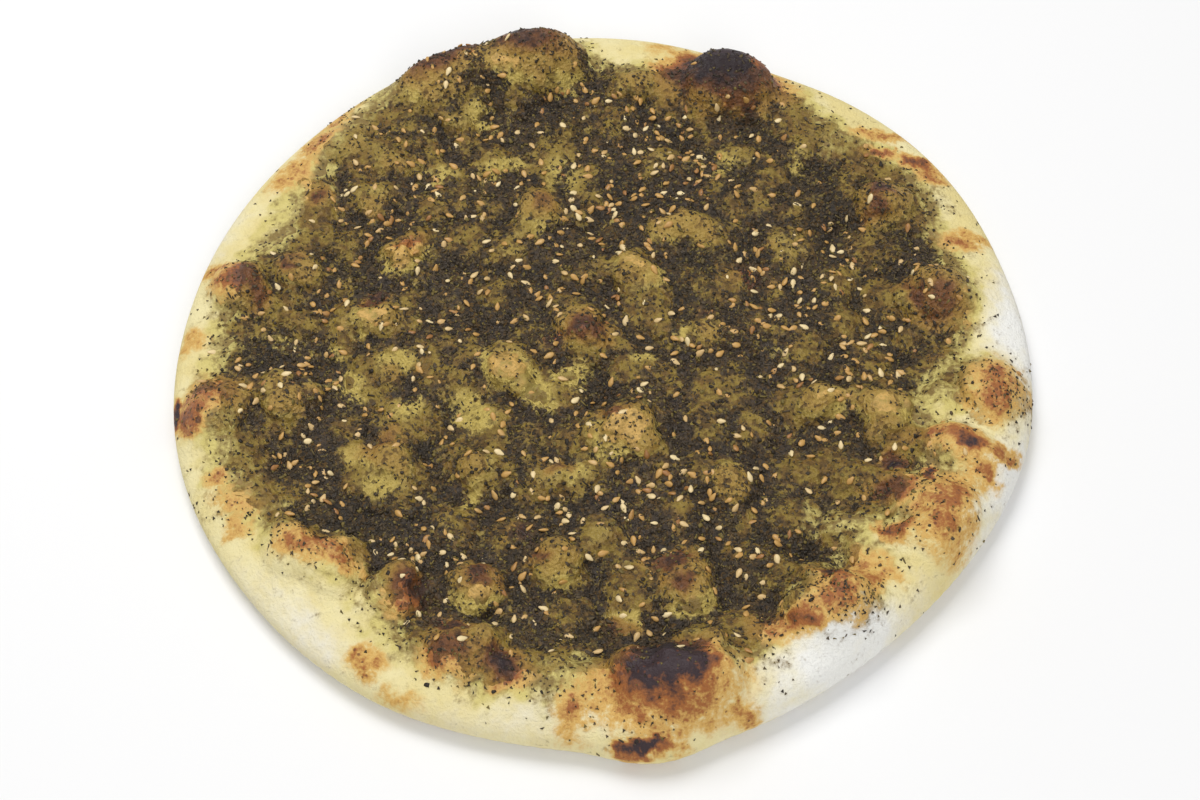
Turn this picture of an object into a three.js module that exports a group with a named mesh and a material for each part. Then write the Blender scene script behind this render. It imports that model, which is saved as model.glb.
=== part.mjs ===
// Zaatar flatbread: a round, hand-stretched bread with blistered dough under a baked-on crust of
// thyme, sumac and oil. Millimetres, +Z up, origin under the middle of the bread, on its underside.

import * as THREE from 'three';

// ---- Driving dimensions ----

// Outline of the bread: a circle that swells out in some directions and draws in in others.
// Angles (counter-clockwise from +X) and half widths are in degrees.
const OUTLINE = {
  radius: 119,
  swells: [
    { angle: 38, halfWidth: 25, reach: 2 }, // far right rim
    { angle: 68, halfWidth: 16, reach: -1 }, // beside the black blister
    { angle: 105, halfWidth: 35, reach: 2 }, // behind the far ridge
    { angle: 195, halfWidth: 25, reach: 1 }, // left rim
    { angle: 262, halfWidth: 24, reach: -2 }, // near rim
    { angle: 276, halfWidth: 10, reach: 3 }, // lip that the near blister has pushed out
    { angle: 312, halfWidth: 40, reach: -5 }, // flat, floury side
  ],
};

// Edge of the herb crust, given in the same way.
const CRUST = {
  radius: 100,
  swells: [
    { angle: 10, halfWidth: 36, reach: -9 }, // bare right rim
    { angle: 75, halfWidth: 35, reach: 7 }, // up to the black blister
    { angle: 118, halfWidth: 35, reach: 13 }, // over the far ridge
    { angle: 192, halfWidth: 20, reach: 4 }, // tongue on the left
    { angle: 224, halfWidth: 16, reach: -8 }, // round the lower left puffs
    { angle: 268, halfWidth: 18, reach: -5 }, // behind the near blister
    { angle: 322, halfWidth: 48, reach: -25 }, // wide bare rim, lower right
  ],
};

// Height of the rim, every 30 degrees counter-clockwise from +X.
const RIM_HEIGHTS = [12, 10, 10, 11, 12, 10, 10, 11, 12, 13, 15, 14];

const BED_HEIGHT = 7.5;         // thickness of the dough inside the rim
const RIM_ROLL = 15;            // width of the rounded shoulder, in from the outline
const RIM_WIDTH = 36;           // distance in from the outline where the rim has sunk to the bed
const SHOULDER_POWER = 2.3;     // squareness of the shoulder's section
const EDGE_HEIGHT = 4;          // height of the outermost line of the rim
const LOWER_EDGE_HEIGHT = 1.3;  // height of the line half-way round the lower edge
const LOWER_EDGE_INSET = 1;     // how far in that line lies
const UNDERSIDE_INSET = 3.5;    // how far in the flat underside begins
const PUFF_FADE = 7;            // puffs and dimples die out over this distance from the outline

const CRUST_GAP = 0.3;          // clearance between the dough and the crust baked onto it
const CRUST_THICKNESS = 1.3;
const CRUST_EDGE_THICKNESS = 0.5;
const CRUST_THINNING = 9;       // the crust thins out over this distance from its edge

const CRUST_RINGS = 22;         // rings of vertices under the crust
const BREAD_RINGS = 29;         // rings of vertices on the whole upper face
const RIM_CROWDING = 1.5;       // above 1 the rim's rings lie closer towards the outline

// Blisters and puffs: middle, half length and half width, turn in degrees, rise above the bed,
// and steepness: below 1 a blister with a crisp foot, 2 a soft swelling.
const PUFFS = [
  // tall blisters on the far side
  { x: -21, y: 105, length: 17, width: 13, turn: 10, rise: 11, steepness: 0.9 },
  { x: -36, y: 102, length: 26, width: 13, turn: 16, rise: 7, steepness: 0.8 },
  { x: -50, y: 98, length: 17, width: 12, turn: 28, rise: 7, steepness: 1 },
  { x: 37, y: 97, length: 15, width: 11, turn: -5, rise: 10, steepness: 0.6 },
  { x: 10, y: 99, length: 9, width: 8, turn: 0, rise: 4, steepness: 1.5 },
  { x: 19, y: 95, length: 7, width: 6, turn: 0, rise: 4, steepness: 1.2 },
  // swellings along the right side
  { x: 80, y: 50, length: 11, width: 10, turn: 40, rise: 6, steepness: 1 },
  { x: 93, y: 18, length: 14, width: 12, turn: 60, rise: 6, steepness: 1.2 },
  { x: 106, y: -14, length: 12, width: 11, turn: 90, rise: 5, steepness: 1.2 },
  { x: 88, y: -16, length: 9, width: 7, turn: 30, rise: 5, steepness: 1.2 },
  { x: 76, y: -20, length: 9, width: 8, turn: 0, rise: 6, steepness: 1 },
  { x: 62, y: -16, length: 8, width: 7, turn: 0, rise: 5, steepness: 1.2 },
  { x: 97, y: -34, length: 15, width: 6, turn: -25, rise: 4, steepness: 1.2 },
  { x: 88, y: -58, length: 18, width: 14, turn: 50, rise: 6, steepness: 1.5 },
  { x: 72, y: -41, length: 9, width: 8, turn: 0, rise: 4, steepness: 1.3 },
  { x: 57, y: -81, length: 14, width: 12, turn: 35, rise: 7, steepness: 1 },
  // near side
  { x: 18, y: -100, length: 19, width: 13, turn: 8, rise: 11, steepness: 0.9 },
  { x: 12, y: -115, length: 13, width: 7, turn: 5, rise: 3, steepness: 1 },
  { x: -35, y: -94, length: 18, width: 8, turn: -12, rise: 5, steepness: 1.2 },
  { x: -8, y: -101, length: 9, width: 8, turn: 0, rise: 3, steepness: 1.5 },
  { x: -52, y: -74, length: 9, width: 9, turn: 0, rise: 6, steepness: 1 },
  { x: -33, y: -73, length: 9, width: 8, turn: 0, rise: 6, steepness: 0.9 },
  { x: -75, y: -65, length: 15, width: 9, turn: -15, rise: 6, steepness: 1 },
  { x: -60, y: -98, length: 7, width: 5, turn: -30, rise: 2, steepness: 1.5 },
  // left side
  { x: -106, y: -20, length: 12, width: 10, turn: 80, rise: 5, steepness: 1 },
  { x: -102, y: 22, length: 11, width: 9, turn: 0, rise: 6, steepness: 1 },
  { x: -88, y: 28, length: 8, width: 7, turn: 0, rise: 5, steepness: 1 },
  { x: -85, y: -14, length: 9, width: 8, turn: 0, rise: 4, steepness: 0.8 },
  { x: -76, y: 75, length: 16, width: 8, turn: 45, rise: 2, steepness: 1.5 },
  // bubbles over the middle
  { x: -57, y: 34, length: 9, width: 7, turn: 30, rise: 6, steepness: 0.8 },
  { x: -65, y: 13, length: 9, width: 5, turn: 10, rise: 4, steepness: 1 },
  { x: -68, y: 52, length: 9, width: 7, turn: 20, rise: 4, steepness: 1.2 },
  { x: -60, y: 65, length: 8, width: 7, turn: 0, rise: 4, steepness: 1.2 },
  { x: -30, y: 67, length: 9, width: 8, turn: 0, rise: 4, steepness: 1.2 },
  { x: -45, y: 81, length: 9, width: 7, turn: 0, rise: 4, steepness: 1.2 },
  { x: -22, y: -7, length: 16, width: 7, turn: -42, rise: 5, steepness: 1 },
  { x: 5, y: -24, length: 12, width: 11, turn: 0, rise: 7, steepness: 0.8 },
  { x: 8, y: 28, length: 9, width: 8, turn: 0, rise: 5, steepness: 1 },
  { x: -5, y: 7, length: 10, width: 8, turn: 0, rise: 5, steepness: 1 },
  { x: -18, y: 51, length: 10, width: 9, turn: 0, rise: 5, steepness: 1.2 },
  { x: 23, y: 45, length: 10, width: 8, turn: 0, rise: 5, steepness: 1.2 },
  { x: 32, y: 70, length: 10, width: 9, turn: 0, rise: 4, steepness: 1.2 },
  { x: 30, y: 6, length: 9, width: 7, turn: 0, rise: 4, steepness: 1.3 },
  { x: -13, y: -66, length: 8, width: 7, turn: 0, rise: 5, steepness: 1 },
  { x: -10, y: -40, length: 9, width: 8, turn: 0, rise: 4, steepness: 1.3 },
  { x: -33, y: -37, length: 9, width: 8, turn: 30, rise: 4, steepness: 1.3 },
  { x: -57, y: -33, length: 10, width: 8, turn: 0, rise: 4, steepness: 1.3 },
  { x: 22, y: -72, length: 9, width: 8, turn: 0, rise: 5, steepness: 1.2 },
  { x: 5, y: -87, length: 8, width: 6, turn: 0, rise: 4, steepness: 1.2 },
  { x: 33, y: -43, length: 10, width: 9, turn: 0, rise: 4, steepness: 1.3 },
];

// Places where the fingers pressed the dough down: middle, radius and depth.
const DIMPLES = [
  { x: -18, y: 87, radius: 14, depth: 2 },
  { x: 37, y: 85, radius: 11, depth: 2 },
  { x: 63, y: 69, radius: 12, depth: 1.5 },
  { x: 89, y: 36, radius: 9, depth: 2.5 },
  { x: -83, y: -3, radius: 12, depth: 1.5 },
  { x: -88, y: -33, radius: 12, depth: 1.5 },
  { x: -65, y: -54, radius: 9, depth: 1.5 },
  { x: 48, y: 21, radius: 14, depth: 1.5 },
  { x: 50, y: -29, radius: 12, depth: 1 },
  { x: -40, y: 13, radius: 12, depth: 1 },
  { x: 5, y: 63, radius: 12, depth: 1 },
  { x: 12, y: -51, radius: 12, depth: 1 },
  { x: -78, y: -84, radius: 8, depth: 1 },
  { x: 38, y: -81, radius: 8, depth: 2 },
];

// ---- Shape of the dough ----

/** Value at an angle (radians) of a list given at even steps round the circle, smoothly joined. */
function around(values, angle) {
  const count = values.length;
  const place = THREE.MathUtils.euclideanModulo((angle / (2 * Math.PI)) * count, count);
  const index = Math.floor(place);
  const t = place - index;
  const before = values[(index + count - 1) % count];
  const start = values[index % count];
  const end = values[(index + 1) % count];
  const after = values[(index + 2) % count];
  const slope = end - before;
  const bend = 2 * before - 5 * start + 4 * end - after;
  const twist = 3 * (start - end) + after - before;
  return start + 0.5 * t * (slope + t * (bend + t * twist));
}

/** Distance from the middle to an edge at an angle (radians): its circle and its swells. */
function edgeRadius(edge, angle) {
  const degrees = THREE.MathUtils.radToDeg(angle);
  let radius = edge.radius;
  for (const swell of edge.swells) {
    const turned = THREE.MathUtils.euclideanModulo(degrees - swell.angle + 180, 360) - 180;
    const share = Math.max(0, 1 - (turned / swell.halfWidth) ** 2);
    radius += swell.reach * share ** 2;
  }
  return radius;
}

/** Rise that a puff adds at (x, y), zero outside its foot. */
function puffRise(puff, x, y) {
  const turn = THREE.MathUtils.degToRad(puff.turn);
  const along = (x - puff.x) * Math.cos(turn) + (y - puff.y) * Math.sin(turn);
  const across = (y - puff.y) * Math.cos(turn) - (x - puff.x) * Math.sin(turn);
  const reach = (along / puff.length) ** 2 + (across / puff.width) ** 2;
  return reach < 1 ? puff.rise * (1 - reach) ** puff.steepness : 0;
}

/** Depth that a dimple takes away at (x, y). */
function dimpleDepth(dimple, x, y) {
  const reach = ((x - dimple.x) ** 2 + (y - dimple.y) ** 2) / dimple.radius ** 2;
  return reach < 1 ? dimple.depth * (1 - reach) ** 2 : 0;
}

/** Height of the upper face of the dough at (x, y). */
function doughHeight(x, y) {
  const angle = Math.atan2(y, x);
  const inward = Math.max(0, edgeRadius(OUTLINE, angle) - Math.hypot(x, y));
  const rimHeight = around(RIM_HEIGHTS, angle);
  const roll = Math.min(1, inward / RIM_ROLL);
  const shoulder = (1 - (1 - roll) ** SHOULDER_POWER) ** (1 / SHOULDER_POWER);
  const rim = EDGE_HEIGHT + (rimHeight - EDGE_HEIGHT) * shoulder;
  const sunk = THREE.MathUtils.smoothstep(inward, RIM_ROLL, RIM_WIDTH);
  const base = THREE.MathUtils.lerp(rim, BED_HEIGHT, sunk);
  const rise = Math.max(...PUFFS.map((puff) => puffRise(puff, x, y)));
  const depth = Math.max(...DIMPLES.map((dimple) => dimpleDepth(dimple, x, y)));
  return base + (rise - depth) * THREE.MathUtils.smoothstep(inward, 0, PUFF_FADE);
}

/** Thickness of the herb crust at (x, y). */
function crustThickness(x, y) {
  const inward = edgeRadius(CRUST, Math.atan2(y, x)) - Math.hypot(x, y);
  const share = THREE.MathUtils.smoothstep(inward, 0, CRUST_THINNING);
  return THREE.MathUtils.lerp(CRUST_EDGE_THICKNESS, CRUST_THICKNESS, share);
}

// ---- Rings of vertices: ring 0 is one point in the middle, ring n holds 6n points ----

/** Distance of a ring from the middle: up to CRUST_RINGS it follows the crust's edge. */
function ringRadius(ring, angle) {
  const crustEdge = edgeRadius(CRUST, angle);
  if (ring <= CRUST_RINGS) {
    return (crustEdge * ring) / CRUST_RINGS;
  }
  const left = (BREAD_RINGS - ring) / (BREAD_RINGS - CRUST_RINGS);
  const outline = edgeRadius(OUTLINE, angle);
  return outline - (outline - crustEdge) * left ** RIM_CROWDING;
}

/** Vertices of one ring, each as [x, y, height(x, y)], pulled in by inset. */
function ringVertices(ring, height, inset = 0) {
  const count = Math.max(1, 6 * ring);
  return Array.from({ length: count }, (_, step) => {
    const angle = (2 * Math.PI * step) / count;
    const radius = ringRadius(ring, angle) - inset;
    const x = radius * Math.cos(angle);
    const y = radius * Math.sin(angle);
    return [x, y, height(x, y)];
  });
}

/** Vertices of a whole disc of rings. */
function discVertices(rings, height) {
  return Array.from({ length: rings + 1 }, (_, ring) => ringVertices(ring, height)).flat();
}

/** Triangles of a disc of rings, facing up, for vertices that start at index first. */
function discTriangles(rings, first) {
  const start = (ring) => first + (ring === 0 ? 0 : 1 + 3 * ring * (ring - 1));
  const vertex = (ring, step) => start(ring) + (ring === 0 ? 0 : step % (6 * ring));
  const triangles = [];
  for (let ring = 1; ring <= rings; ring++) {
    for (let sixth = 0; sixth < 6; sixth++) {
      for (let step = 0; step < ring; step++) {
        const outer = sixth * ring + step;
        const inner = sixth * (ring - 1) + step;
        triangles.push([vertex(ring, outer), vertex(ring, outer + 1), vertex(ring - 1, inner)]);
        if (step < ring - 1) {
          triangles.push([vertex(ring, outer + 1), vertex(ring - 1, inner + 1), vertex(ring - 1, inner)]);
        }
      }
    }
  }
  return triangles;
}

/** Triangles of the band between an upper and a lower loop of count vertices, facing out. */
function bandTriangles(upper, lower, count) {
  const triangles = [];
  for (let step = 0; step < count; step++) {
    const next = (step + 1) % count;
    triangles.push([upper + step, lower + step, lower + next]);
    triangles.push([upper + step, lower + next, upper + next]);
  }
  return triangles;
}

/** A named mesh from vertices and triangles. */
function solid(name, vertices, triangles, material) {
  const geometry = new THREE.BufferGeometry();
  geometry.setAttribute('position', new THREE.Float32BufferAttribute(vertices.flat(), 3));
  geometry.setIndex(triangles.flat());
  geometry.computeVertexNormals();
  const mesh = new THREE.Mesh(geometry, material);
  mesh.name = name;
  return mesh;
}

// ---- Bread: upper face, rounded lower edge and flat underside in one closed body ----

function makeBread() {
  const top = discVertices(BREAD_RINGS, doughHeight);
  const lowerEdge = ringVertices(BREAD_RINGS, () => LOWER_EDGE_HEIGHT, LOWER_EDGE_INSET);
  const underside = ringVertices(BREAD_RINGS, () => 0, UNDERSIDE_INSET);
  const loop = lowerEdge.length;
  const topLoop = top.length - loop;
  const lowerLoop = top.length;
  const undersideLoop = lowerLoop + loop;
  const middle = undersideLoop + loop;
  const triangles = [
    ...discTriangles(BREAD_RINGS, 0),
    ...bandTriangles(topLoop, lowerLoop, loop),
    ...bandTriangles(lowerLoop, undersideLoop, loop),
  ];
  for (let step = 0; step < loop; step++) {
    triangles.push([middle, undersideLoop + ((step + 1) % loop), undersideLoop + step]);
  }
  const vertices = [...top, ...lowerEdge, ...underside, [0, 0, 0]];
  const dough = new THREE.MeshStandardMaterial({ color: 0xe4d090, roughness: 0.75, metalness: 0 });
  return solid('bread', vertices, triangles, dough);
}

// ---- Zaatar topping: a thin closed skin that follows the dough ----

function makeTopping() {
  const underFace = (x, y) => doughHeight(x, y) + CRUST_GAP;
  const upperFace = (x, y) => underFace(x, y) + crustThickness(x, y);
  const top = discVertices(CRUST_RINGS, upperFace);
  const bottom = discVertices(CRUST_RINGS, underFace);
  const loop = 6 * CRUST_RINGS;
  const downward = discTriangles(CRUST_RINGS, top.length).map(([a, b, c]) => [a, c, b]);
  const triangles = [
    ...discTriangles(CRUST_RINGS, 0),
    ...downward,
    ...bandTriangles(top.length - loop, 2 * top.length - loop, loop),
  ];
  const crust = new THREE.MeshStandardMaterial({ color: 0x4b4430, roughness: 0.6, metalness: 0 });
  return solid('zaatar_topping', [...top, ...bottom], triangles, crust);
}

const flatbread = new THREE.Group();
flatbread.add(makeBread(), makeTopping());

export default flatbread;
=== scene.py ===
"""Zaatar flatbread: baked dough, herb crust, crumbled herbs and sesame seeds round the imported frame."""

import math

import bmesh
import bpy
import numpy as np
from bpy.props import FloatProperty, FloatVectorProperty, IntProperty, PointerProperty
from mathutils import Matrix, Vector, noise
from mathutils.bvhtree import BVHTree


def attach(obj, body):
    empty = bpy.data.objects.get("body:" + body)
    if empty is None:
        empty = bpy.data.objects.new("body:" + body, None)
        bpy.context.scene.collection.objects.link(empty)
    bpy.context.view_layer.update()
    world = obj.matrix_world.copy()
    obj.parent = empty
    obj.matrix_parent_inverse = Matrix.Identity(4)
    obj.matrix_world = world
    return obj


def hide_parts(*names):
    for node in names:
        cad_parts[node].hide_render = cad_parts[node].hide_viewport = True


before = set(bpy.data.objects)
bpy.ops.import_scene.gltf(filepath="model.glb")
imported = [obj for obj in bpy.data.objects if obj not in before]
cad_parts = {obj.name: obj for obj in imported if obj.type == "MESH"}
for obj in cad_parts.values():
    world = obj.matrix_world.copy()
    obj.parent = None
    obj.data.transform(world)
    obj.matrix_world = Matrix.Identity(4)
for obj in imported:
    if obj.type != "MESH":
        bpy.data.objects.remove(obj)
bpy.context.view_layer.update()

bl_info = {
    "name": "Zaatar Flatbread",
    "version": (1, 0, 0),
    "blender": (4, 5, 0),
    "location": "View3D > Sidebar > Flatbread",
    "description": "Bakes a blistered flatbread with a crust of zaatar and sesame",
    "category": "Object",
}

MM = 0.001
PER_SQUARE_METRE = 100  # square decimetres in a square metre
JUST_INSIDE = 0.998     # a point this share of the way out is safely within the outline
OUTLINE_STEPS = 721     # directions in which the outline of the bread is measured
OUTLINE_LEVEL = 3.6 * MM    # height at which it is measured
CRUST_STEPS = 120       # directions in which the reach of the topping is measured
CELL = 1 * MM           # size and number of the squares in which heights are averaged
CELLS = 256
TOP_CUTS = (18, 9)      # how finely the upper face is cut into triangles, and the underside
UNDERSIDE_CUTS = (12, 3)
UNDERSIDE_SHARE = 0.955     # width of the flat underside, as a share of the bread's
MASK_LIMIT = 1.5        # the most that a mask may hold
CRUST_EDGE = 0.04       # least cover at which there is still crust
CRUST_THICKNESS = 0.8 * MM
CRUST_SUNK = 0.4 * MM   # how far the crust dips into the dough where no herbs lie
UNDERSIDE_KEPT = 0.12   # share of the triangles kept on the crust's hidden underside

# Steps in which the edge rolls under: the share kept of the width and of the height.
EDGE_ROLL = ((0.998, 0.7), (0.995, 0.6), (0.992, 0.5), (0.985, 0.0))

# Crumbs of leaf, in millimetres: length, width, thickness, curl, and the share left at the tip.
CRUMBS = (("crumb_leaf", 1.5, 0.8, 0.22, 0.2, 0.3), ("crumb_chip", 1.1, 0.85, 0.35, 0.12, 0.6),
          ("crumb_grain", 0.8, 0.7, 0.55, 0.05, 0.5), ("crumb_bud", 0.9, 0.6, 0.5, 0.1, 0.4),
          ("crumb_stem", 1.9, 0.35, 0.3, 0.08, 0.7))

# Splinters of leaf, in millimetres: length, width and thickness.
SPLINTERS = (("splinter_flat", 1.5, 1.0, 0.3), ("splinter_thick", 1.1, 1.0, 0.6),
             ("splinter_long", 1.9, 0.6, 0.4))

# How scattered things lie: how close they come, the least and most of their size, how far they
# tilt (radians), sink and rise, and the number that starts their random draws.
LIE = {
    "thyme_crumbs": {"Apart": 0.7 * MM, "Smallest": 0.6, "Largest": 1.25, "Tilt": 0.5,
                     "Sunk": -0.15 * MM, "Raised": 0.2 * MM, "Draw": 3},
    "herb_specks": {"Apart": 0.4 * MM, "Smallest": 0.3, "Largest": 0.75, "Tilt": 0.4,
                    "Sunk": -0.05 * MM, "Raised": 0.1 * MM, "Draw": 5},
    "sesame_seeds": {"Apart": 1.4 * MM, "Smallest": 0.65, "Largest": 1.0, "Tilt": 0.5,
                     "Sunk": -0.4 * MM, "Raised": 0.4 * MM, "Draw": 8},
}

# Studio: brightness of the sky; place, size and power of each light; camera.
SKY = 0.42
LIGHTS = (("overhead", (-0.25, 0.4, 1.05), 0.6, 8), ("front", (0.3, -0.9, 0.9), 0.8, 5))
LOOK_AT = (-1.3 * MM, -9.0 * MM, 0)
LENS = 64.6

# ---- Where things are on the bread, in millimetres from its middle ----

# Crisp blisters: x, y, radius, rise, and how far the sides bulge over the foot.
BLISTERS = [
    (-21, 106, 15, 1.2, 0.03), (-48, 99, 14, 1, 0.03), (37, 97, 14, 1.5, 0.12),
    (18, -100, 18, 1.4, 0.02), (-81, -62, 10, 1.6, 0.06), (-70, -66, 11, 1.8, 0.08),
    (-52, -74, 9, 1.8, 0.05), (-33, -73, 9, 1.8, 0.05), (-37, -92, 9, 1.4, 0.03),
    (57, -80, 12, 1.4, 0.03), (88, -56, 13, 1.2, 0.02), (107, -13, 11, 1.4, 0.03),
    (93, 17, 12, 1.4, 0.03), (80, 51, 10, 1.4, 0.03), (76, -19, 8, 1.4, 0.04),
    (88, -17, 8, 1.2, 0.04), (62, -16, 8, 1.2, 0.04), (-107, -18, 11, 1.6, 0.04),
    (-103, 22, 10, 1.4, 0.03), (-88, 28, 7, 1.2, 0.03), (-86, -13, 9, 2, 0.12),
    (-57, 35, 8, 2, 0.06), (-65, 13, 6, 1.2, 0.04), (5, -24, 12, 2, 0.05), (-5, 8, 9, 1.6, 0.04),
    (8, 28, 9, 1.4, 0.04), (-27, -2, 8, 1.4, 0.04), (-19, -11, 8, 1.4, 0.04),
    (-13, -66, 7, 1.4, 0.04),
]

# Each place below is an oval: x, y, half length, half width and strength, and a turn in degrees
# where it has one.

# Toasted places, and how dark (1 is charred).
TOASTED = [
    # far side
    (-50, 101, 13, 7, 0.75, 30), (-45, 106, 10, 4, 0.95, 20), (-22, 107, 14, 8, 0.8),
    (-24, 112, 14, 5, 0.95), (34, 101, 17, 11, 1.35, -8), (38, 96, 19, 12, 0.95),
    (40, 90, 12, 4, 0.75), (18, 112, 8, 4, 0.33, -25),
    # upper left rim
    (-79, 86, 11, 4, 0.42, 50), (-85, 75, 8, 5, 0.55, 45), (-91, 63, 9, 6, 0.45, 55),
    (-84, 56, 5, 4, 0.6), (-111, 29, 6, 4, 0.6, -20), (-103, 22, 8, 7, 0.8, -20),
    (-97, 18, 6, 5, 0.65), (-89, 29, 5, 4, 0.75), (-115, 5, 5, 6, 0.38),
    # left and lower left
    (-107, -15, 10, 8, 0.55, 30), (-112, -21, 7, 6, 0.75, 20), (-118, -19, 2.5, 6, 1.4),
    (-98, -48, 9, 6, 0.38, -20), (-103, -41, 4, 3, 0.45), (-97, -56, 5, 4, 0.4),
    (-76, -64, 13, 6, 0.6, -12), (-70, -68, 8, 4, 0.6, -20), (-60, -95, 6, 5, 0.48),
    (-52, -105, 8, 4, 0.33, -20), (-40, -94, 8, 8, 0.68), (-26, -97, 9, 6, 0.9, -20),
    (-38, -86, 8, 3, 0.85, -20), (-50, -76, 7, 8, 0.8, 20), (-32, -72, 7, 5, 0.72),
    # near side
    (-8, -111, 5, 6, 0.55), (15, -101, 15, 10, 1.45, 8), (14, -104, 21, 12, 0.75, 5),
    (30, -104, 6, 5, 0.45), (10, -118, 10, 2.4, 1.25, 5), (34, -110, 6, 4, 0.55, 20),
    # lower right
    (42, -86, 8, 6, 0.5), (50, -86, 8, 5, 0.7, 10), (60, -79, 10, 8, 0.66, 20),
    (58, -73, 5, 3, 1, -20), (66, -69, 8, 5, 0.5, 30), (70, -73, 6, 4, 0.5), (88, -55, 9, 15, 0.58),
    (76, -58, 6, 4, 0.78, -20), (92, -47, 7, 8, 0.6), (85, -41, 3, 3, 1), (77, -35, 4, 3, 1),
    (75, -44, 8, 6, 0.7),
    # right
    (98, -33, 6, 4, 0.98, -30), (92, -30, 14, 4, 0.6, -10), (106, -34, 8, 4, 0.55, -15),
    (100, -40, 5, 7, 0.5, 20), (107, -14, 10, 11, 0.6), (104, -20, 8, 6, 0.6),
    (93, 14, 10, 8, 0.6, -10), (87, 17, 4, 6, 0.75, 10), (103, 39, 9, 4, 0.55),
    (80, 53, 6, 4, 0.9, -20), (78, 48, 5, 6, 0.65), (84, 79, 13, 3, 0.5, -5),
    (82, 72, 6, 2.5, 0.75, -10), (92, 69, 6, 3.5, 0.8, -15), (96, 64, 6, 5, 0.55, -50),
    # bubbles over the middle
    (-5, 8, 7, 6, 0.9), (-14, 4, 4, 4, 0.75), (-65, 18, 5, 3, 0.75), (-57, 37, 7, 4, 0.65, 30),
    (2, -21, 8, 4, 0.6, 20), (28, 14, 4, 3, 0.6, -30), (-17, -65, 5, 4, 0.6), (18, -65, 8, 5, 0.85),
    (20, -72, 5, 4, 0.7), (3, -85, 6, 4, 0.55), (-22, -57, 5, 4, 0.75), (42, 29, 6, 6, 0.85),
    (-60, -29, 8, 5, 0.5, 40), (-12, -37, 5, 3, 0.5), (-18, 52, 7, 6, 0.5),
]

# Places where the herbs are thin and oily dough shows, and how bare.
BARE = [
    (-57, 34, 8, 7, 1, 40), (-65, 12, 8, 4, 1, 10), (-24, -8, 16, 5, 1, -42), (5, -27, 11, 9, 1),
    (-8, -7, 7, 6, 0.8), (10, 0, 5, 4, 0.6), (9, 30, 9, 4, 0.8, -20), (14, 26, 4, 5, 0.7),
    (22, 8, 3, 7, 0.6), (46, 3, 6, 3, 0.6, -35), (-36, -45, 5, 4, 0.7), (-9, -38, 6, 5, 0.6),
    (-37, -18, 9, 7, 0.7, -30), (-57, -2, 7, 6, 0.6), (-53, -17, 6, 6, 0.6),
    (-73, -9, 9, 6, 0.8, -40), (-62, -32, 9, 6, 0.6, 30), (-60, -42, 7, 5, 0.5),
    (-90, 3, 8, 4, 0.7), (-77, 1, 6, 4, 0.6), (-30, 65, 9, 7, 0.6, 30), (-12, 65, 7, 8, 0.5),
    (-50, 63, 8, 5, 0.5), (-35, 84, 9, 6, 0.6), (-18, 50, 10, 8, 0.55), (20, 43, 9, 5, 0.7, 10),
    (27, 38, 5, 5, 0.5), (32, 69, 11, 7, 0.55), (58, 68, 5, 8, 0.5), (22, 60, 7, 5, 0.5),
    (-33, -78, 8, 5, 0.8), (-12, -69, 6, 5, 0.7), (22, -79, 7, 6, 0.8), (5, -83, 7, 5, 0.7),
    (62, -16, 7, 6, 0.8), (75, -19, 7, 6, 0.8), (86, -19, 8, 7, 0.75), (-55, 93, 8, 5, 0.6, 20),
    (-30, 98, 12, 5, 0.8), (-10, 96, 7, 6, 0.6), (-50, -76, 6, 7, 0.8, 20), (-5, 7, 7, 6, 0.7),
]

# Herbs strewn thinly beyond the crust, and how thick.
STREWN = [
    (90, 21, 19, 30, 1), (105, -14, 16, 16, 0.9), (80, -42, 26, 22, 1, 30), (84, 53, 16, 24, 1, 20),
    (58, -72, 24, 18, 1, 20), (36, -83, 12, 18, 0.8), (0, -94, 14, 10, 0.3), (40, -96, 8, 10, 0.4),
    (-30, -94, 22, 12, 0.6, -15), (-98, 16, 16, 22, 0.5), (-107, -17, 12, 12, 0.5),
    (-98, -44, 14, 18, 0.3, -20), (-80, -61, 16, 12, 0.4, -20), (-78, 73, 24, 12, 0.15, 50),
    (60, 89, 26, 12, 0.3, -35), (-8, -107, 12, 10, 0.4), (10, -115, 14, 6, 0.5),
    (98, 56, 10, 30, 0.25, 15), (-34, 106, 30, 12, 0.8, 14), (60, 98, 10, 5, 0.3, -30),
]

# Places that the oil and herbs did not reach, and how clean.
CLEAN = [
    (12, 112, 20, 11, 1.6, -5), (70, 92, 20, 8, 1, -38), (106, 66, 8, 16, 0.8, 30),
    (-66, -96, 24, 8, 0.6, -35), (-108, 40, 6, 14, 0.6, -20),
]

# Floury, untoasted dough, and how white.
FLOURY = [
    (62, -97, 30, 14, 1, 33), (108, -44, 10, 28, 0.9, -28), (116, 6, 10, 34, 0.8),
    (-112, 46, 8, 22, 0.4, -22), (-80, -83, 30, 9, 0.45, -38), (0, -111, 60, 7, 0.4),
]

# Places where the herbs lie thick, and how much thicker.
HEAPED = [
    (-34, 104, 34, 13, 1, 14), (-20, 108, 18, 9, 1), (42, 25, 26, 30, 0.3), (30, -34, 26, 22, 0.3),
    (-92, -3, 18, 8, 0.5), (-84, -14, 10, 9, 0.6), (-78, -30, 12, 10, 0.4), (-50, -60, 14, 14, 0.5),
    (12, 58, 34, 16, 0.35), (-14, 38, 22, 9, 0.3), (-8, -52, 18, 8, 0.3, 20), (-36, 18, 16, 9, 0.3),
    (60, 50, 14, 12, 0.25), (84, 36, 10, 12, 0.4), (-72, -50, 12, 6, 0.4),
    (44, -62, 10, 14, 0.35, -30),
]

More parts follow.
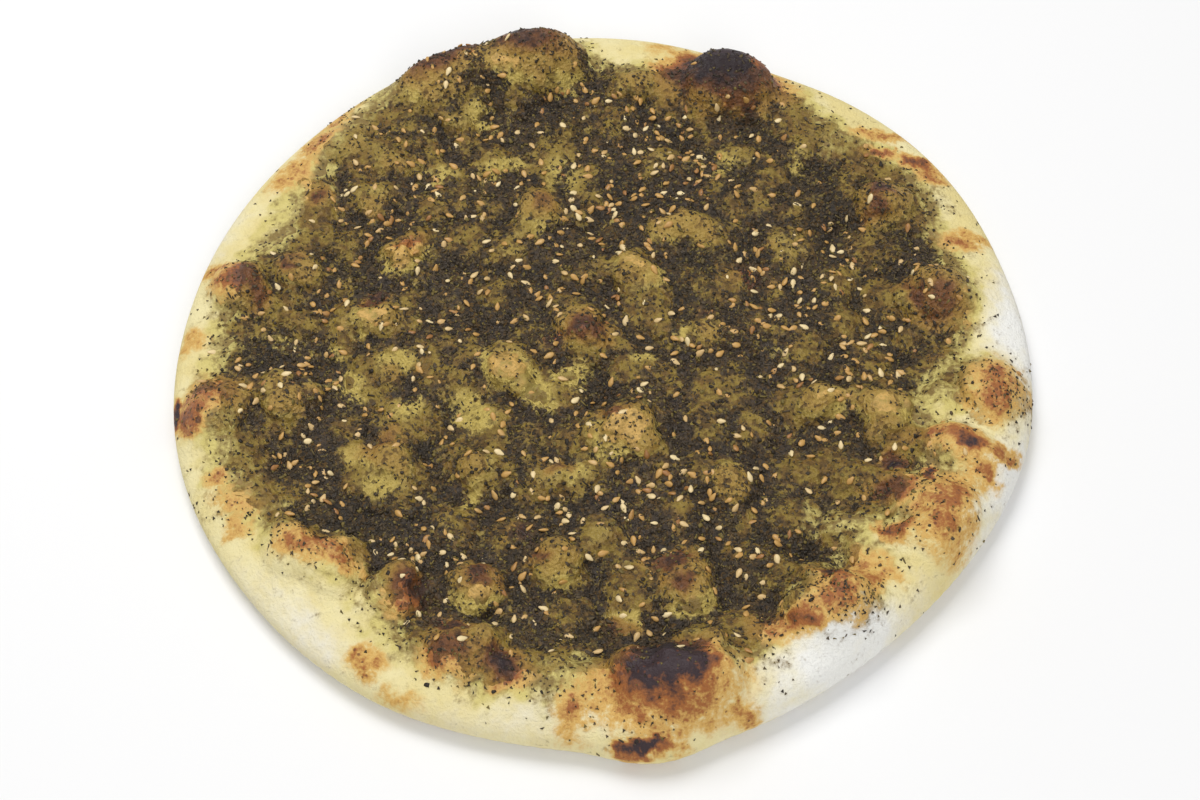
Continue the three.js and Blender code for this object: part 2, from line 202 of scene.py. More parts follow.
# Places thick with seeds, and how thick.
SEEDED = [
    (15, 65, 36, 28, 0.7), (55, 14, 24, 42, 0.9), (-50, -66, 15, 22, 1, 20), (-92, -15, 18, 15, 1),
    (12, -48, 34, 24, 0.7), (-20, 35, 30, 16, 0.7), (-60, 60, 30, 24, 0.7), (-70, -45, 14, 10, 0.8),
]


# ---- Settings ----

def colour(red, green, blue):
    """A linear colour from the 0 to 255 values that a colour picker shows."""
    def linear(value):
        share = value / 255
        return share / 12.92 if share <= 0.04045 else ((share + 0.055) / 1.055) ** 2.4
    return (linear(red), linear(green), linear(blue), 1.0)


def span(name, description, millimetres):
    """A setting that holds a length, given in millimetres."""
    return FloatProperty(name=name, description=description, default=millimetres * MM, min=0.0,
                         unit="LENGTH", precision=4)


def count(name, description, default):
    """A setting that holds a number of things on a square decimetre."""
    return IntProperty(name=name, description=description, default=default, min=0)


def tone(name, description, red, green, blue):
    """A setting that holds a colour."""
    return FloatVectorProperty(name=name, description=description, default=colour(red, green, blue),
                               size=4, min=0.0, max=1.0, subtype="COLOR")


class DoughSettings(bpy.types.PropertyGroup):
    swell: span("Swells", "Height of the broad swells of the dough", 3.2)
    lumps: span("Lumps", "Height of the bubbles in the bed of the bread", 5.0)
    crumpling: span("Crumpling", "Height of the small bumps between the bubbles", 1.7)
    pale: tone("Pale dough", "Baked dough that is neither oily nor toasted", 237, 224, 170)
    warm: tone("Warm dough", "Second tone of the baked dough", 229, 211, 144)
    oily: tone("Oily dough", "Dough that the oil has just reached", 212, 196, 116)
    soaked: tone("Soaked dough", "Dough under and beside the herbs", 162, 144, 66)
    floury: tone("Floury dough", "Dough that is still white with flour", 242, 241, 235)
    golden: tone("Golden", "First tone of the toasting", 217, 174, 94)
    brown: tone("Brown", "Middle tone of the toasting", 162, 98, 46)
    char: tone("Char", "Last tone of the toasting", 54, 38, 42)
    stain: tone("Stain", "Dough stained by the herbs beside it", 120, 94, 40)
    scorch: tone("Scorch", "Small scorched dots", 104, 58, 36)
    dust: tone("Dust", "Herb dust too fine to be a piece", 92, 76, 40)


class CrustSettings(bpy.types.PropertyGroup):
    thickness: span("Thickness", "Thickness of the herb paste in the hollows", 1.2)
    paste: tone("Paste", "Oily thyme and sumac where they lie thick", 49, 40, 26)
    dusky: tone("Dusky paste", "Second tone of the thick paste", 66, 54, 42)
    thin: tone("Thin paste", "Paste rubbed thin over the bubbles", 150, 125, 51)
    rubbed: tone("Rubbed paste", "Oily dough that shows where the herbs are rubbed off", 202, 178, 92)
    # A real tone of the paste, and also the colour of the painted shade in the dough's hollows.
    tawny_and_hollow_shade: tone("Tawny paste", "Second tone of the thin paste", 122, 90, 34)
    # Painted shade: the near-black of the crevices between the crumbs.
    crevice_shade: tone("Gaps", "The dark between the crumbs", 30, 22, 14)
    golden: tone("Golden", "First tone of the toasting where the paste is thin", 164, 126, 56)
    umber: tone("Umber", "First tone of the toasting where it is thick", 88, 66, 38)
    brown: tone("Brown", "Middle tone of the toasting where the paste is thin", 118, 74, 38)
    sepia: tone("Sepia", "Middle tone of the toasting where it is thick", 66, 43, 31)
    char: tone("Char", "Last tone of the toasting", 44, 32, 34)


class HerbSettings(bpy.types.PropertyGroup):
    crumbs: count("Crumbs", "Crumbs of leaf on a square decimetre at most", 4200)
    dust: count("Dust", "Specks of herb on a square decimetre at most", 12500)
    dark: tone("Dark", "Darkest crumbs of thyme", 42, 33, 20)
    grey: tone("Grey", "Dusty crumbs of thyme", 84, 70, 50)
    green: tone("Green", "Palest, olive crumbs", 118, 102, 48)


class SeedSettings(bpy.types.PropertyGroup):
    length: span("Length", "Length of a large seed", 3.0)
    width: span("Width", "Width of a large seed", 1.95)
    thickness: span("Thickness", "Thickness of a large seed", 1.0)
    seeds: count("Seeds", "Seeds on a square decimetre at most", 1380)
    cream: tone("Cream", "Palest seeds", 238, 216, 164)
    gold: tone("Gold", "Seeds baked golden", 198, 154, 86)
    tan: tone("Tan", "Seeds baked brown", 158, 110, 60)


class StageSettings(bpy.types.PropertyGroup):
    floor: tone("Floor", "Colour of the studio floor", 243, 243, 243)
    height: FloatProperty(name="Camera height", description="Angle of the camera above the floor",
                          default=math.radians(57), subtype="ANGLE", min=0.0, max=math.pi / 2)
    distance: span("Camera distance", "How far the camera stands from the bread", 600)


class FlatbreadSettings(bpy.types.PropertyGroup):
    dough: PointerProperty(type=DoughSettings, name="Dough")
    crust: PointerProperty(type=CrustSettings, name="Herb crust")
    herbs: PointerProperty(type=HerbSettings, name="Crumbled herbs")
    seeds: PointerProperty(type=SeedSettings, name="Sesame seeds")
    stage: PointerProperty(type=StageSettings, name="Stage")


# ---- Small tools ----

def select_only(*objects):
    """Leaves edit mode and selects just these objects, the last of them active."""
    if bpy.context.mode != "OBJECT":
        bpy.ops.object.mode_set(mode="OBJECT")
    bpy.ops.object.select_all(action="DESELECT")
    for one in objects:
        one.select_set(True)
        bpy.context.view_layer.objects.active = one


def edit(piece, chosen="DESELECT"):
    """Opens a piece in edit mode with nothing, or everything, selected."""
    select_only(piece)
    bpy.ops.object.mode_set(mode="EDIT")
    bpy.ops.mesh.select_mode(type="VERT")
    bpy.ops.mesh.select_all(action=chosen)


def leave_edit():
    bpy.ops.object.mode_set(mode="OBJECT")


def select_verts(piece, chosen):
    """Selects, in edit mode, the vertices that the test picks out."""
    mesh = bmesh.from_edit_mesh(piece.data)
    mesh.verts.ensure_lookup_table()
    for vertex in mesh.verts:
        vertex.select_set(bool(chosen(vertex)))
    mesh.select_flush_mode()


def named(piece, name):
    piece.name = name
    piece.data.name = name
    return piece


def new_piece(name, kind, **settings):
    """Adds one of the basic meshes under a name of its own."""
    select_only()
    getattr(bpy.ops.mesh, f"primitive_{kind}_add")(**settings)
    return named(bpy.context.object, name)


def made_piece(name):
    """A piece that an earlier step must have made."""
    if name not in bpy.data.objects:
        raise RuntimeError(f"Make the {name} first")
    return bpy.data.objects[name]


def copy_of(source, name):
    """A copy of an object, with its own mesh, riding on nothing."""
    select_only(source)
    bpy.ops.object.duplicate()
    copy = bpy.context.object
    copy.parent = None
    for key in list(copy.keys()):
        del copy[key]
    copy.data.materials.clear()
    return named(copy, name)


def apply_modifier(piece, kind, name, **settings):
    """Adds one modifier to a piece and applies it."""
    select_only(piece)
    modifier = piece.modifiers.new(name, kind)
    for key, value in settings.items():
        setattr(modifier, key, value)
    bpy.ops.object.modifier_apply(modifier=modifier.name)


def points_of(piece):
    """The places of a piece's vertices, in metres, one row each."""
    places = np.empty(len(piece.data.vertices) * 3, dtype=np.float32)
    piece.data.vertices.foreach_get("co", places)
    return places.reshape(-1, 3).astype(float)


def put_points(piece, places):
    piece.data.vertices.foreach_set("co", places.astype(np.float32).ravel())
    piece.data.update()


def keep_mask(piece, name, values):
    """Stores one number for each vertex as an attribute that materials and modifiers read."""
    if name in piece.data.attributes:
        piece.data.attributes.remove(piece.data.attributes[name])
    attribute = piece.data.attributes.new(name, "FLOAT", "POINT")
    attribute.data.foreach_set("value", np.clip(values, 0.0, MASK_LIMIT).astype(np.float32))


def mask_of(piece, name):
    values = np.empty(len(piece.data.vertices), dtype=np.float32)
    piece.data.attributes[name].data.foreach_get("value", values)
    return values.astype(float)


def weigh(piece, name, values):
    """Makes a vertex group from one weight for each vertex."""
    group = piece.vertex_groups.new(name=name)
    for index, value in enumerate(np.clip(values, 0.0, 1.0)):
        if value > 0.001:
            group.add([index], float(value), "REPLACE")


def smoothstep(values, low, high):
    share = np.clip((values - low) / (high - low), 0.0, 1.0)
    return share * share * (3 - 2 * share)


def mottle(places, size, shift):
    """Fractal noise around 0, from about -1 to 1, with features of the given size in metres."""
    start = Vector((shift, shift * 2, shift * 3))
    return np.array([noise.fractal(Vector(place) / size + start, 0.8, 2.0, 4) for place in places])


def ragged(places, size, reach, shift):
    """Places nudged by noise, so that what is drawn at them gets a ragged edge."""
    nudged = places.copy()
    nudged[:, 0] += reach * mottle(places, size, shift)
    nudged[:, 1] += reach * mottle(places, size, shift + 1)
    return nudged


def patches(places, table, inner=0.3, outer=1.3):
    """The strongest of a table's ovals at each place; each fades from inner to outer times its size."""
    strongest = np.zeros(len(places))
    for x, y, half_length, half_width, strength, *turned in table:
        away = places[:, :2] / MM - (x, y)
        turn = math.radians(turned[0] if turned else 0)
        c, s = math.cos(turn), math.sin(turn)
        along = (away[:, 0] * c + away[:, 1] * s) / half_length
        across = (away[:, 1] * c - away[:, 0] * s) / half_width
        fade = 1 - smoothstep(np.hypot(along, across), inner, outer)
        strongest = np.maximum(strongest, strength * fade)
    return strongest


def standing(places, reach):
    """How far each place stands above its surroundings, averaged over the given reach, in metres."""
    rows, columns = (np.clip((places[:, axis] / CELL + CELLS / 2).astype(int), 0, CELLS - 1)
                     for axis in (0, 1))
    heights = np.zeros((CELLS, CELLS))
    counts = np.zeros((CELLS, CELLS))
    np.add.at(heights, (rows, columns), places[:, 2])
    np.add.at(counts, (rows, columns), 1.0)
    wave = np.fft.fftfreq(CELLS)
    fade = np.exp(-2 * (math.pi * reach / CELL) ** 2 * (wave[:, None] ** 2 + wave[None, :] ** 2))
    spread_heights, spread_counts = (np.real(np.fft.ifft2(np.fft.fft2(values) * fade))
                                     for values in (heights, counts))
    average = spread_heights / np.maximum(spread_counts, 0.001)
    return places[:, 2] - average[rows, columns]


def finish_piece(piece, material, slot, *nodes):
    """Gives a piece its material, hangs it on the root body and hides the CAD nodes that it stands for.
    """
    piece.data.materials.clear()
    piece.data.materials.append(material)
    piece.vertex_groups.clear()
    select_only(piece)
    bpy.ops.object.shade_smooth()
    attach(piece, "root")
    if nodes:
        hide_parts(*nodes)


# ---- Dough ----

def hexagonal_disc(name, coarse, fine):
    """A disc of even triangles: a hexagon cut into coarse x fine rings."""
    disc = new_piece(name, "circle", vertices=6, radius=1, fill_type="TRIFAN")
    edit(disc, "SELECT")
    bpy.ops.mesh.subdivide(number_cuts=coarse - 1)
    bpy.ops.mesh.subdivide(number_cuts=fine - 1)
    leave_edit()
    return disc


def smooth_form(node):
    """A merged and smoothed copy of a CAD node, to lay the finer meshes over."""
    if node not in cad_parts:
        raise RuntimeError(f"The frame has no {node}")
    form = copy_of(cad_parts[node], node + "_form")
    edit(form, "SELECT")
    bpy.ops.mesh.remove_doubles(threshold=0.01 * MM)
    leave_edit()
    apply_modifier(form, "SUBSURF", "Round", levels=2, render_levels=2)
    return form


def outline_of(form, height):
    """Angles round the bread, and the distance from the middle to the outline at each."""
    tree = BVHTree.FromObject(form, bpy.context.evaluated_depsgraph_get())
    start = 2 * max(form.dimensions)
    angles = np.linspace(-math.pi, math.pi, OUTLINE_STEPS)
    reach = []
    for angle in angles:
        way = Vector((math.cos(angle), math.sin(angle), 0))
        hit = tree.ray_cast(way * start + Vector((0, 0, height)), -way)[0]
        reach.append(math.hypot(hit.x, hit.y))
    return angles, np.array(reach)


def round_off(disc, outline, share=1.0):
    """Turns a hexagonal disc into a share of the outline; returns how far in each point lies."""
    places = points_of(disc)
    sides = [(math.cos(turn), math.sin(turn)) for turn in (0, math.pi / 3, 2 * math.pi / 3)]
    ring = np.max([np.abs(places[:, 0] * c + places[:, 1] * s) for c, s in sides], axis=0)
    ring /= math.cos(math.pi / 6)
    angles = np.arctan2(places[:, 1], places[:, 0])
    reach = np.interp(angles, *outline) * share
    places[:, 0] = reach * ring * np.cos(angles)
    places[:, 1] = reach * ring * np.sin(angles)
    put_points(disc, places)
    return reach * (1 - ring)


def drape(disc, form, inward):
    """Lowers a disc onto the top of the form, read a little askew so that no bubble stays round."""
    places = points_of(disc)
    askew = ragged(places, 13 * MM, 3.5 * MM, 21.0) - places
    askew *= smoothstep(inward, 4 * MM, 20 * MM)[:, None]
    tree = BVHTree.FromObject(form, bpy.context.evaluated_depsgraph_get())
    above = 2 * form.dimensions.z
    for index, (x, y, _) in enumerate(places * JUST_INSIDE + askew):
        start = Vector((x, y, above))
        places[index, 2] = tree.ray_cast(start, Vector((0, 0, -1)))[0].z
    put_points(disc, places)


def raise_blisters(dough):
    """Pulls each blister up by proportional editing, then swells it over its foot."""
    edit(dough)
    mesh = bmesh.from_edit_mesh(dough.data)
    flat = np.array([vertex.co.xy for vertex in mesh.verts])
    for x, y, radius, rise, bulge in BLISTERS:
        mesh.verts.ensure_lookup_table()
        index = int(np.argmin(np.sum((flat - (x * MM, y * MM)) ** 2, axis=1)))
        bpy.ops.mesh.select_all(action="DESELECT")
        mesh.verts[index].select_set(True)
        mesh.select_flush_mode()
        middle = mesh.verts[index].co.copy()
        bpy.ops.transform.translate(
            value=(0, 0, rise * MM), use_proportional_edit=True,
            proportional_edit_falloff="SPHERE", proportional_size=radius * MM)
        bpy.ops.transform.resize(
            value=(1 + bulge, 1 + bulge, 1), center_override=middle, use_proportional_edit=True,
            proportional_edit_falloff="SPHERE", proportional_size=radius * MM)
        mesh = bmesh.from_edit_mesh(dough.data)
    leave_edit()


def relief(piece, name, kind, size, strength, group, middle=0.5, **settings):
    """Pushes a piece's surface in and out along its normals by a cloudy or cellular pattern."""
    pattern = bpy.data.textures.new(name, kind)
    pattern.noise_scale = size
    for key, value in settings.items():
        setattr(pattern, key, value)
    apply_modifier(piece, "DISPLACE", name, texture=pattern, strength=strength, mid_level=middle,
                   vertex_group=group, texture_coords="LOCAL")
    bpy.data.textures.remove(pattern)


def shape_surface(dough, inward, settings):
    """Adds the swells, lumps and wrinkles that the coarse form leaves out."""
    weigh(dough, "all_but_edge", smoothstep(inward, 0, 8 * MM))
    weigh(dough, "bed", smoothstep(inward, 8 * MM, 30 * MM))
    relief(dough, "swell", "CLOUDS", 24 * MM, settings.swell, "all_but_edge")
    relief(dough, "lumps", "VORONOI", 15 * MM, -settings.lumps, "bed", 0.35,
           distance_metric="DISTANCE_SQUARED")
    relief(dough, "crumpling", "VORONOI", 7.5 * MM, -settings.crumpling, "bed", 0.35,
           distance_metric="DISTANCE_SQUARED")
    relief(dough, "wrinkles", "CLOUDS", 3.2 * MM, 0.5 * MM, "all_but_edge", noise_depth=3)


def close_underside(dough, outline):
    """Rolls the edge under and closes the bottom with a coarser disc."""
    edit(dough)
    bpy.ops.mesh.select_mode(type="EDGE")
    bpy.ops.mesh.select_non_manifold()
    for narrower, lower in EDGE_ROLL:
        bpy.ops.mesh.extrude_edges_move()
        bpy.ops.transform.resize(value=(narrower, narrower, lower), center_override=(0, 0, 0))
    leave_edit()
    bottom = hexagonal_disc("underside", *UNDERSIDE_CUTS)
    round_off(bottom, outline, UNDERSIDE_SHARE)
    select_only(bottom, dough)
    bpy.ops.object.join()
    edit(dough)
    bpy.ops.mesh.select_mode(type="EDGE")
    bpy.ops.mesh.select_non_manifold()
    bpy.ops.mesh.bridge_edge_loops()
    bpy.ops.mesh.select_all(action="SELECT")
    bpy.ops.mesh.normals_make_consistent(inside=False)
    bpy.ops.mesh.quads_convert_to_tris()
    leave_edit()


# ---- Masks ----

def crust_outline():
    """Angles round the bread, and the reach of the CAD topping at each."""
    skin = points_of(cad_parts["zaatar_topping"])
    turns = np.arctan2(skin[:, 1], skin[:, 0]) / math.pi + 1
    bins = (turns * CRUST_STEPS / 2).astype(int) % CRUST_STEPS
    reach = np.zeros(CRUST_STEPS)
    np.maximum.at(reach, bins, np.hypot(skin[:, 0], skin[:, 1]))
    angles = (np.arange(-1, CRUST_STEPS + 1) + 0.5) * 2 * math.pi / CRUST_STEPS - math.pi
    return angles, np.concatenate([reach[-1:], reach, reach[:1]])


def add_masks(dough, top_count):
    """Works out where the dough is toasted, oily, floury, covered and strewn with herbs, and where
    painted shade darkens its hollows.
    """
    places = points_of(dough)
    under = (np.arange(len(places)) >= top_count) * (1 - smoothstep(places[:, 2], 0, 2 * MM))
    on_top = np.arange(len(places)) < top_count
    broad = mottle(places, 12 * MM, 1.0)
    middling = mottle(places, 4 * MM, 2.0)
    loose = ragged(ragged(places, 9 * MM, 2.8 * MM, 11.0), 3 * MM, 1.2 * MM, 13.0)
    hill = standing(places, 8 * MM) / MM
    knoll = standing(places, 3 * MM) / MM
    edge = np.interp(np.arctan2(places[:, 1], places[:, 0]), *crust_outline())
    thin = patches(loose, STREWN)
    beyond = (np.hypot(places[:, 0], places[:, 1]) - edge) / MM + 6 * broad + 4 * middling
    beyond -= 15 * thin - 6 * patches(loose, CLEAN)

    cover = (1 - smoothstep(beyond, -9, 5)) * on_top
    strewn = np.maximum(thin, 0.8 * (1 - smoothstep(beyond, 0, 16))) * on_top
    bare = patches(loose, BARE)
    toast = patches(loose, TOASTED, 0.05, 1.5)
    toast = np.maximum(toast, 0.24 * smoothstep(hill + 1.6 * broad, 1.2, 3.0) * cover)
    toast *= 0.3 + 0.7 * smoothstep(places[:, 2], 3 * MM, 8 * MM)
    blotches = 0.2 + 0.32 * broad + 0.15 * middling
    toast = toast * (1 - under) + under * blotches
    oil = np.maximum(1 - smoothstep(beyond, -2, 18), 0.8 * thin)
    flour = np.maximum(patches(loose, FLOURY, 0.1, 1.6),
                       0.5 * (1 - smoothstep(places[:, 2], 1 * MM, 7 * MM)))
    flour = flour * (1 + 0.3 * broad) * (1 - under) + under * (0.4 + 0.5 * broad)
    heaped = patches(loose, HEAPED)
    herbs = 0.5 - 0.14 * hill - 0.25 * knoll + 0.4 * broad + 0.2 * middling - 0.5 * bare + heaped
    herbs = cover * np.maximum(herbs - 0.3 * thin, 0.17 - 0.15 * bare)

    strewn = strewn * (0.25 + smoothstep(broad + 0.6 * middling, -0.5, 0.7))
    bare = np.maximum(bare, 0.35 * smoothstep(hill, 0.8, 2.5)) * cover
    # The hollow mask is painted shade, stronger where the dough lies below its surroundings.
    masks = {"toast": toast, "cover": cover, "strewn": strewn, "oil": oil * (1 - under),
             "flour": flour, "herbs": herbs, "painted_hollow_shade": 0.5 - 0.5 * knoll, "bare": bare}
    for name, values in masks.items():
        keep_mask(dough, name, values)


# ---- Herb crust ----

def herb_ground():
    """The dough's upper face with the herb paste spread on it: thick in hollows, thin on bubbles."""
    if "herb_ground" in bpy.data.objects:
        return bpy.data.objects["herb_ground"]
    ground = copy_of(made_piece("flatbread"), "herb_ground")
    herbs = mask_of(ground, "herbs")
    thickness = bpy.context.scene.flatbread.crust.thickness
    weigh(ground, "paste", herbs + 0.1 * mask_of(ground, "cover"))
    weigh(ground, "loose", smoothstep(herbs, 0.05, 0.5))
    relief(ground, "paste", "CLOUDS", 7 * MM, thickness, "paste", -0.2)
    relief(ground, "clumps", "VORONOI", 2.6 * MM, -1.0 * MM, "loose", 0.4)
    relief(ground, "crumbs", "CLOUDS", 1.3 * MM, 0.8 * MM, "loose", 0.45)
    return ground


def trim_crust(ground):
    """Cuts the crust out of the herb-covered ground and gives it an underside."""
    crust = copy_of(ground, "zaatar_crust")
    sunk = points_of(crust)
    sunk[:, 2] -= CRUST_SUNK * (1 - smoothstep(mask_of(crust, "herbs"), 0.0, 0.1))
    put_points(crust, sunk)
    cover = mask_of(crust, "cover")
    edit(crust)
    select_verts(crust, lambda vertex: cover[vertex.index] < CRUST_EDGE)
    bpy.ops.mesh.delete(type="VERT")
    leave_edit()
    apply_modifier(crust, "SOLIDIFY", "Underside", thickness=CRUST_THICKNESS, offset=-1)
    edit(crust)
    bpy.ops.mesh.select_mode(type="FACE")
    for face in bmesh.from_edit_mesh(crust.data).faces:
        face.select_set(face.normal.z < -0.05)
    bpy.ops.mesh.decimate(ratio=UNDERSIDE_KEPT)
    leave_edit()
    return crust


# ---- Scattered herbs and seeds ----

def scatter_tree():
    """Geometry nodes that scatter shapes over a surface and turn each one at random."""
    if "Scatter" in bpy.data.node_groups:
        return bpy.data.node_groups["Scatter"]
    tree = bpy.data.node_groups.new("Scatter", "GeometryNodeTree")
    numbers = ("Per Square Metre", "Apart", "Smallest", "Largest", "Tilt", "Sunk", "Raised")
    add_sockets(tree, "INPUT", {"Ground": "Geometry", "Shapes": "Collection", "Where": "String",
                                **dict.fromkeys(numbers, "Float"), "Draw": "Int"})
    add_sockets(tree, "OUTPUT", {"Geometry": "Geometry"})
    graph = Graph(tree)
    given = graph.add("NodeGroupInput").outputs
    where = graph.add("GeometryNodeInputNamedAttribute", {"Name": given["Where"]}, data_type="FLOAT")
    spread = graph.add("GeometryNodeDistributePointsOnFaces",
                       {"Mesh": given["Ground"], "Distance Min": given["Apart"],
                        "Density Max": given["Per Square Metre"],
                        "Density Factor": where.outputs["Attribute"], "Seed": given["Draw"]},
                       distribute_method="POISSON")

    def draw(kind, low, high, order):
        node = graph.add("FunctionNodeRandomValue", data_type=kind)
        live = [socket for socket in node.inputs if socket.enabled]
        graph.feed(live[0], low)
        graph.feed(live[1], high)
        graph.feed(node.inputs["Seed"], graph.math("ADD", given["Draw"], order))
        return next(socket for socket in node.outputs if socket.enabled)

    lift = graph.add("ShaderNodeVectorMath", {0: spread.outputs["Normal"]}, operation="SCALE")
    graph.feed(lift.inputs["Scale"], draw("FLOAT", given["Sunk"], given["Raised"], 11))
    raised = graph.add("GeometryNodeSetPosition",
                       {"Geometry": spread.outputs["Points"], "Offset": lift.outputs[0]})
    backward = graph.times(given["Tilt"], -1.0)
    least = graph.add("ShaderNodeCombineXYZ", {0: backward, 1: backward})
    most = graph.add("ShaderNodeCombineXYZ", {0: given["Tilt"], 1: given["Tilt"], 2: 2 * math.pi})
    lean = draw("FLOAT_VECTOR", least.outputs[0], most.outputs[0], 23)
    turn = graph.add("FunctionNodeRotateRotation",
                     {"Rotation": spread.outputs["Rotation"],
                      "Rotate By": graph.add("FunctionNodeEulerToRotation", {0: lean}).outputs[0]},
                     rotation_space="LOCAL")
    shapes = graph.add("GeometryNodeCollectionInfo",
                       {"Collection": given["Shapes"], "Separate Children": True,
                        "Reset Children": True})
    placed = graph.add("GeometryNodeInstanceOnPoints",
                       {"Points": raised.outputs[0], "Instance": shapes.outputs[0],
                        "Pick Instance": True, "Rotation": turn.outputs[0],
                        "Scale": draw("FLOAT", given["Smallest"], given["Largest"], 37)})
    tinted = graph.add("GeometryNodeStoreNamedAttribute",
                       {"Geometry": placed.outputs[0], "Name": "tint",
                        "Value": draw("FLOAT", 0.0, 1.0, 51)},
                       data_type="FLOAT", domain="INSTANCE")
    real = graph.add("GeometryNodeRealizeInstances", {"Geometry": tinted.outputs[0]})
    graph.add("NodeGroupOutput", {"Geometry": real.outputs[0]})
    return tree


def scatter(ground, name, shapes, where, density):
    """Scatters shapes over the ground, so many to a square decimetre at most, as one piece."""
    collection = bpy.data.collections.new(name)
    bpy.context.scene.collection.children.link(collection)
    for shape in shapes:
        for owner in shape.users_collection:
            owner.objects.unlink(shape)
        collection.objects.link(shape)
    piece = copy_of(ground, name)
    keep_mask(piece, "where", where)
    modifier = piece.modifiers.new("Scatter", "NODES")
    modifier.node_group = scatter_tree()
    values = {"Shapes": collection, "Where": "where",
              "Per Square Metre": density * PER_SQUARE_METRE, **LIE[name]}
    for item in modifier.node_group.interface.items_tree:
        if item.in_out == "INPUT" and item.name in values:
            modifier[item.identifier] = values[item.name]
    piece.vertex_groups.clear()
    bpy.ops.object.modifier_apply(modifier=modifier.name)
    for shape in shapes:
        bpy.data.objects.remove(shape)
    bpy.data.collections.remove(collection)
    return piece


def herb_crumb(name, length, width, thickness, curl, taper):
    """A crumb of dried leaf: a flat bar, cut once across, curled and narrowed at one end."""
    crumb = new_piece(name, "cube", size=MM)
    edit(crumb, "SELECT")
    bpy.ops.transform.resize(value=(length, width, thickness))
    bpy.ops.mesh.bisect(plane_co=(0.1 * length * MM, 0, 0), plane_no=(1, 0.3, 0))
    select_verts(crumb, lambda vertex: vertex.co.x > 0.4 * length * MM)
    bpy.ops.transform.resize(value=(1, taper, 0.5))
    bpy.ops.transform.translate(value=(0, 0.1 * width * MM, curl * MM))
    leave_edit()
    return crumb


def herb_splinter(name, length, width, thickness):
    """The smallest splinter of leaf: a thin three-cornered chip with one corner drawn out."""
    chip = new_piece(name, "cylinder", vertices=3, radius=0.58 * MM, depth=MM)
    edit(chip, "SELECT")
    bpy.ops.transform.resize(value=(length, width, thickness))
    select_verts(chip, lambda vertex: vertex.co.y > 0.3 * width * MM)
    bpy.ops.transform.translate(value=(0.15 * length * MM, 0.2 * width * MM, 0.1 * MM))
    leave_edit()
    return chip


def sesame_seed(name, length, width, thickness):
    """A hulled seed: a flattened ball drawn out to a blunt point at one end."""
    seed = new_piece(name, "uv_sphere", segments=8, ring_count=6, radius=0.5 * MM,
                     rotation=(0, math.pi / 2, 0))
    bpy.ops.object.transform_apply(rotation=True)
    edit(seed, "SELECT")
    bpy.ops.transform.resize(value=(length, width, thickness))
    select_verts(seed, lambda vertex: vertex.co.x > 0.2 * length * MM)
    bpy.ops.transform.resize(value=(1, 0.66, 0.8), center_override=(0, 0, 0))
    bpy.ops.transform.translate(value=(0.08 * length * MM, 0, 0))
    leave_edit()
    bpy.ops.object.shade_smooth()
    return seed


# ---- Shader tools ----

class Graph:
    """Adds nodes to a node tree and joins their sockets."""

    def __init__(self, tree, material=None):
        self.tree = tree
        self.material = material

    def add(self, kind, feeds=None, **settings):
        node = self.tree.nodes.new(kind)
        for key, value in settings.items():
            setattr(node, key, value)
        for socket, value in (feeds or {}).items():
            self.feed(node.inputs[socket], value)
        return node

    def feed(self, socket, value):
        if isinstance(value, bpy.types.NodeSocket):
            self.tree.links.new(value, socket)
        else:
            socket.default_value = value

    def math(self, operation, first, second):
        return self.add("ShaderNodeMath", {0: first, 1: second}, operation=operation).outputs[0]

    def times(self, first, second):
        return self.math("MULTIPLY", first, second)

    def ramp(self, value, low, high):
        """0 below low, 1 above high and a smooth rise between."""
        feeds = {"Value": value, "From Min": low, "From Max": high}
        return self.add("ShaderNodeMapRange", feeds, interpolation_type="SMOOTHSTEP").outputs[0]

    def blend(self, share, first, second):
        node = self.add("ShaderNodeMix", data_type="RGBA", clamp_factor=True)
        self.feed(node.inputs[0], share)
        self.feed(node.inputs[6], first)
        self.feed(node.inputs[7], second)
        return node.outputs[2]

    def noise(self, place, size, detail):
        """Fractal noise with features of the given size in metres."""
        feeds = {"Vector": place, "Scale": 1 / size, "Detail": detail, "Roughness": 0.6}
        return self.add("ShaderNodeTexNoise", feeds).outputs[0]

    def spread(self, value, amount):
        """A value around 0.5 turned into one around 0, scaled by the amount."""
        return self.times(self.math("SUBTRACT", value, 0.5), amount)

    def mask(self, name, *patterns):
        """A mask of the piece, made uneven by patterns that each have an amount."""
        value = self.add("ShaderNodeAttribute", attribute_name=name).outputs["Fac"]
        for pattern, amount in patterns:
            value = self.math("ADD", value, self.spread(pattern, amount))
        return value

    def place(self):
        return self.add("ShaderNodeTexCoord").outputs["Object"]

    def surface(self, shade, roughness, height=None, depth=0.0):
        """Ends a material with its shader, with bumps where a height pattern is given."""
        feeds = {"Base Color": shade, "Roughness": roughness}
        if height is not None:
            bumps = {"Strength": 1.0, "Distance": depth, "Height": height}
            feeds["Normal"] = self.add("ShaderNodeBump", bumps).outputs[0]
        shader = self.add("ShaderNodeBsdfPrincipled", feeds)
        self.add("ShaderNodeOutputMaterial", {"Surface": shader.outputs[0]})
        return self.material


def add_sockets(tree, way, sockets):
    for title, kind in sockets.items():
        tree.interface.new_socket(title, in_out=way, socket_type="NodeSocket" + kind)


def new_group(name, inputs, outputs):
    """An empty shader node group with named sockets; returns its graph, inputs and output node."""
    tree = bpy.data.node_groups.new(name, "ShaderNodeTree")
    add_sockets(tree, "INPUT", inputs)
    add_sockets(tree, "OUTPUT", outputs)
    graph = Graph(tree)
    return graph, graph.add("NodeGroupInput").outputs, graph.add("NodeGroupOutput").inputs


